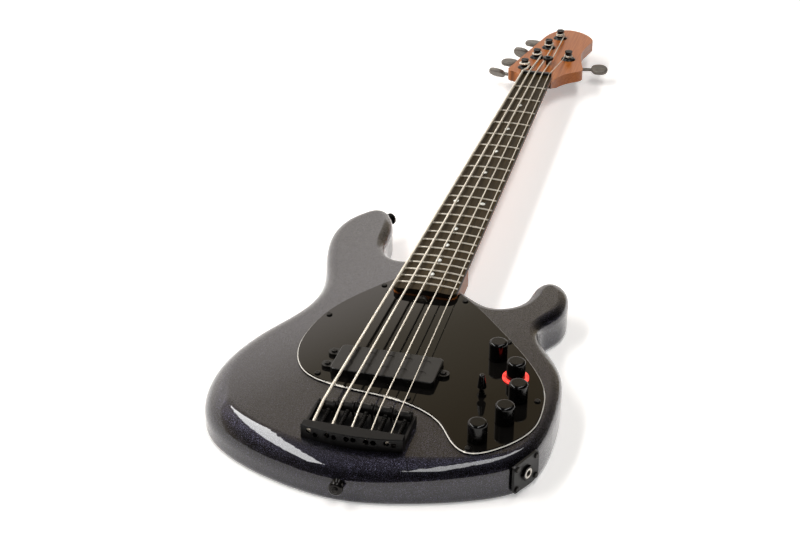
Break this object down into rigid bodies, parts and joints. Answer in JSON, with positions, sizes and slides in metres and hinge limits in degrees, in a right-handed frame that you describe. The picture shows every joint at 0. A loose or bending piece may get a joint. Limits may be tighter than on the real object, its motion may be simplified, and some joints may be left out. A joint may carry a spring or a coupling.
{
  "type": "electric bass guitar",
  "caption": "Solid-body electric bass guitar with a bolt-on neck, humbucking pickup, plucked wound strings, geared tuners, an adjustable bridge and a knob-controlled preamp.",
  "frame": {"origin": "on the flat back of the body, on the centre line, below the saddle end of the string scale", "axes": "+Y along the neck to the head, +X to the treble side, +Z out of the front of the body"},
  "size_m": [0.3432, 1.1715, 0.067],
  "materials": {
    "body_lacquer": "metallic charcoal lacquer under a gloss clear coat on solid wood",
    "maple": "oiled roasted maple",
    "ebony": "satin dark fingerboard wood",
    "fret_steel": "polished fret wire",
    "pearl_inlay": "polished pearl inlay",
    "black_composite": "satin",
    "black_plated_steel": "black plated",
    "guard_laminate": "three-ply laminate, black over white over black",
    "pickup_plastic": "satin moulded",
    "pole_magnets": "blackened",
    "coil_copper": "enamelled copper wire",
    "bridge_black": "satin black plated steel",
    "saddle_black": "satin black plated steel",
    "spring_steel": "dark drawn wire",
    "string_steel": "round-wound, brass ball ends",
    "lit_ring": "lit translucent ring",
    "pot_steel": "zinc plated",
    "switch_black": "satin",
    "circuit_board": "solder resist",
    "box_plastic": "fine moulded texture",
    "battery_case": "plain printed can",
    "jack_plate_plastic": "satin",
    "nickel": "nickel plated",
    "tuner_black": "satin black plated",
    "tuner_key_grey": "satin black plated",
    "lever_plastic": "satin moulded",
    "knob_plastic": "gloss",
    "rod_steel": "plain steel"
  },
  "bodies": {
    "instrument": {"body": "body_lacquer", "neck": "maple", "fingerboard": "ebony", "frets": "fret_steel", "position_dots": "pearl_inlay", "nut": "black_composite", "neck_plate": "black_plated_steel", "neck_bolts": "black_plated_steel", "pickguard": "guard_laminate", "wood_screws": "black_plated_steel", "pickup_cover": "pickup_plastic", "pickup_pole_pieces": "pole_magnets", "pickup_coils": "coil_copper", "bridge_plate": "bridge_black", "intonation_springs": "spring_steel", "led_ring": "lit_ring", "potentiometers": "pot_steel", "toggle_switch": "switch_black", "preamp_board": "circuit_board", "battery_box": "box_plastic", "batteries": "battery_case", "jack_plate": "jack_plate_plastic", "jack_socket": "nickel", "strap_buttons": "black_plated_steel", "tuner_plates": "tuner_black", "tuner_bushings": "tuner_black", "string_tree": "tuner_black", "string_b": "string_steel", "string_e": "string_steel", "string_a": "string_steel", "string_d": "string_steel", "string_g": "string_steel"},
    "toggle_lever": {"toggle_lever": "lever_plastic"},
    "battery_lid": {"battery_lid": "box_plastic"},
    "truss_rod": {"truss_rod": "rod_steel"},
    "knob_1": {"knob_1": "knob_plastic"},
    "knob_2": {"knob_2": "knob_plastic"},
    "knob_3": {"knob_3": "knob_plastic"},
    "knob_4": {"knob_4": "knob_plastic"},
    "knob_5": {"knob_5": "knob_plastic"},
    "saddle_b": {"saddle_b": "saddle_black"},
    "intonation_screw_b": {"intonation_screw_b": "black_plated_steel"},
    "tuner_post_b": {"tuner_post_b": "tuner_black"},
    "tuner_key_b": {"tuner_key_b": "tuner_key_grey"},
    "saddle_e": {"saddle_e": "saddle_black"},
    "intonation_screw_e": {"intonation_screw_e": "black_plated_steel"},
    "tuner_post_e": {"tuner_post_e": "tuner_black"},
    "tuner_key_e": {"tuner_key_e": "tuner_key_grey"},
    "saddle_a": {"saddle_a": "saddle_black"},
    "intonation_screw_a": {"intonation_screw_a": "black_plated_steel"},
    "tuner_post_a": {"tuner_post_a": "tuner_black"},
    "tuner_key_a": {"tuner_key_a": "tuner_key_grey"},
    "saddle_d": {"saddle_d": "saddle_black"},
    "intonation_screw_d": {"intonation_screw_d": "black_plated_steel"},
    "tuner_post_d": {"tuner_post_d": "tuner_black"},
    "tuner_key_d": {"tuner_key_d": "tuner_key_grey"},
    "saddle_g": {"saddle_g": "saddle_black"},
    "intonation_screw_g": {"intonation_screw_g": "black_plated_steel"},
    "tuner_post_g": {"tuner_post_g": "tuner_black"},
    "tuner_key_g": {"tuner_key_g": "tuner_key_grey"}
  },
  "joints": [
    {"name": "tuner_key_b_spin", "type": "hinge", "parent": "instrument", "child": "tuner_key_b", "pos_m": [-0.02326, 0.92434, 0.02125], "axis": [-0.9811, 0.1933, 0], "continuous": true},
    {"name": "tuner_post_b_spin", "type": "hinge", "parent": "instrument", "child": "tuner_post_b", "pos_m": [-0.0254, 0.9135, 0.02125], "axis": [0, 0, 1], "continuous": true},
    {"name": "intonation_screw_b_spin", "type": "hinge", "parent": "instrument", "child": "intonation_screw_b", "pos_m": [-0.0305, 0, 0.0477], "axis": [0, 1, 0], "range_deg": [-2165, 2165]},
    {"name": "saddle_b_slide", "type": "slide", "parent": "instrument", "child": "saddle_b", "axis": [0, 1, 0], "range_m": [-0.003, 0.003], "deforming": ["intonation_springs", "string_b"]},
    {"name": "tuner_key_e_spin", "type": "hinge", "parent": "instrument", "child": "tuner_key_e", "pos_m": [-0.01363, 0.96857, 0.02125], "axis": [-0.9811, 0.1933, 0], "continuous": true},
    {"name": "tuner_post_e_spin", "type": "hinge", "parent": "instrument", "child": "tuner_post_e", "pos_m": [-0.01577, 0.95773, 0.02125], "axis": [0, 0, 1], "continuous": true},
    {"name": "intonation_screw_e_spin", "type": "hinge", "parent": "instrument", "child": "intonation_screw_e", "pos_m": [-0.012, 0, 0.04986], "axis": [0, 1, 0], "range_deg": [-2165, 2165]},
    {"name": "saddle_e_slide", "type": "slide", "parent": "instrument", "child": "saddle_e", "axis": [0, 1, 0], "range_m": [-0.003, 0.003], "deforming": ["intonation_springs", "string_e"]},
    {"name": "tuner_key_a_spin", "type": "hinge", "parent": "instrument", "child": "tuner_key_a", "pos_m": [-0.004, 1.01281, 0.02125], "axis": [-0.9811, 0.1933, 0], "continuous": true},
    {"name": "tuner_post_a_spin", "type": "hinge", "parent": "instrument", "child": "tuner_post_a", "pos_m": [-0.00613, 1.00197, 0.02125], "axis": [0, 0, 1], "continuous": true},
    {"name": "intonation_screw_a_spin", "type": "hinge", "parent": "instrument", "child": "intonation_screw_a", "pos_m": [0.0065, 0, 0.05072], "axis": [0, 1, 0], "range_deg": [-2165, 2165]},
    {"name": "saddle_a_slide", "type": "slide", "parent": "instrument", "child": "saddle_a", "axis": [0, 1, 0], "range_m": [-0.003, 0.003], "deforming": ["intonation_springs", "string_a"]},
    {"name": "tuner_key_d_spin", "type": "hinge", "parent": "instrument", "child": "tuner_key_d", "pos_m": [0.00564, 1.05704, 0.02125], "axis": [-0.9811, 0.1933, 0], "continuous": true},
    {"name": "tuner_post_d_spin", "type": "hinge", "parent": "instrument", "child": "tuner_post_d", "pos_m": [0.0035, 1.0462, 0.02125], "axis": [0, 0, 1], "continuous": true},
    {"name": "intonation_screw_d_spin", "type": "hinge", "parent": "instrument", "child": "intonation_screw_d", "pos_m": [0.025, 0, 0.05036], "axis": [0, 1, 0], "range_deg": [-2165, 2165]},
    {"name": "saddle_d_slide", "type": "slide", "parent": "instrument", "child": "saddle_d", "axis": [0, 1, 0], "range_m": [-0.003, 0.003], "deforming": ["intonation_springs", "string_d"]},
    {"name": "tuner_key_g_spin", "type": "hinge", "parent": "instrument", "child": "tuner_key_g", "pos_m": [0.0278, 0.97296, 0.02125], "axis": [0.974, 0.2265, 0], "continuous": true},
    {"name": "tuner_post_g_spin", "type": "hinge", "parent": "instrument", "child": "tuner_post_g", "pos_m": [0.0303, 0.9622, 0.02125], "axis": [0, 0, 1], "continuous": true},
    {"name": "intonation_screw_g_spin", "type": "hinge", "parent": "instrument", "child": "intonation_screw_g", "pos_m": [0.0435, 0, 0.04878], "axis": [0, 1, 0], "range_deg": [-2165, 2165]},
    {"name": "saddle_g_slide", "type": "slide", "parent": "instrument", "child": "saddle_g", "axis": [0, 1, 0], "range_m": [-0.003, 0.003], "deforming": ["intonation_springs", "string_g"]},
    {"name": "knob_1_turn", "type": "hinge", "parent": "instrument", "child": "knob_1", "pos_m": [0.102, 0.131, 0.0435], "axis": [0, 0, 1], "range_deg": [-150, 150]},
    {"name": "knob_2_turn", "type": "hinge", "parent": "instrument", "child": "knob_2", "pos_m": [0.126, 0.1006, 0.0435], "axis": [0, 0, 1], "range_deg": [-150, 150]},
    {"name": "knob_3_turn", "type": "hinge", "parent": "instrument", "child": "knob_3", "pos_m": [0.1356, 0.0638, 0.0435], "axis": [0, 0, 1], "range_deg": [-150, 150]},
    {"name": "knob_4_turn", "type": "hinge", "parent": "instrument", "child": "knob_4", "pos_m": [0.1306, 0.0253, 0.0435], "axis": [0, 0, 1], "range_deg": [-150, 150]},
    {"name": "knob_5_turn", "type": "hinge", "parent": "instrument", "child": "knob_5", "pos_m": [0.1124, -0.0087, 0.0435], "axis": [0, 0, 1], "range_deg": [-150, 150]},
    {"name": "toggle_flip", "type": "hinge", "parent": "instrument", "child": "toggle_lever", "pos_m": [0.1005, 0.063, 0.0435], "axis": [1, 0, 0], "range_deg": [-12, 12]},
    {"name": "battery_lid_hinge", "type": "hinge", "parent": "instrument", "child": "battery_lid", "pos_m": [-0.092, -0.0059, 0.0015], "axis": [-1, 0, 0], "range_deg": [0, 100]},
    {"name": "truss_rod_turn", "type": "hinge", "parent": "instrument", "child": "truss_rod", "pos_m": [0, 0.224, 0.0395], "axis": [0, 1, 0], "range_deg": [-360, 360]}
  ],
  "couplings": [
    {"joint": "tuner_post_b_spin", "follows": "tuner_key_b_spin", "ratio": -0.05},
    {"joint": "intonation_screw_b_spin", "follows": "saddle_b_slide", "rad_per_m": -12566},
    {"joint": "tuner_post_e_spin", "follows": "tuner_key_e_spin", "ratio": -0.05},
    {"joint": "intonation_screw_e_spin", "follows": "saddle_e_slide", "rad_per_m": -12566},
    {"joint": "tuner_post_a_spin", "follows": "tuner_key_a_spin", "ratio": -0.05},
    {"joint": "intonation_screw_a_spin", "follows": "saddle_a_slide", "rad_per_m": -12566},
    {"joint": "tuner_post_d_spin", "follows": "tuner_key_d_spin", "ratio": -0.05},
    {"joint": "intonation_screw_d_spin", "follows": "saddle_d_slide", "rad_per_m": -12566},
    {"joint": "tuner_post_g_spin", "follows": "tuner_key_g_spin", "ratio": 0.05},
    {"joint": "intonation_screw_g_spin", "follows": "saddle_g_slide", "rad_per_m": -12566}
  ]
}
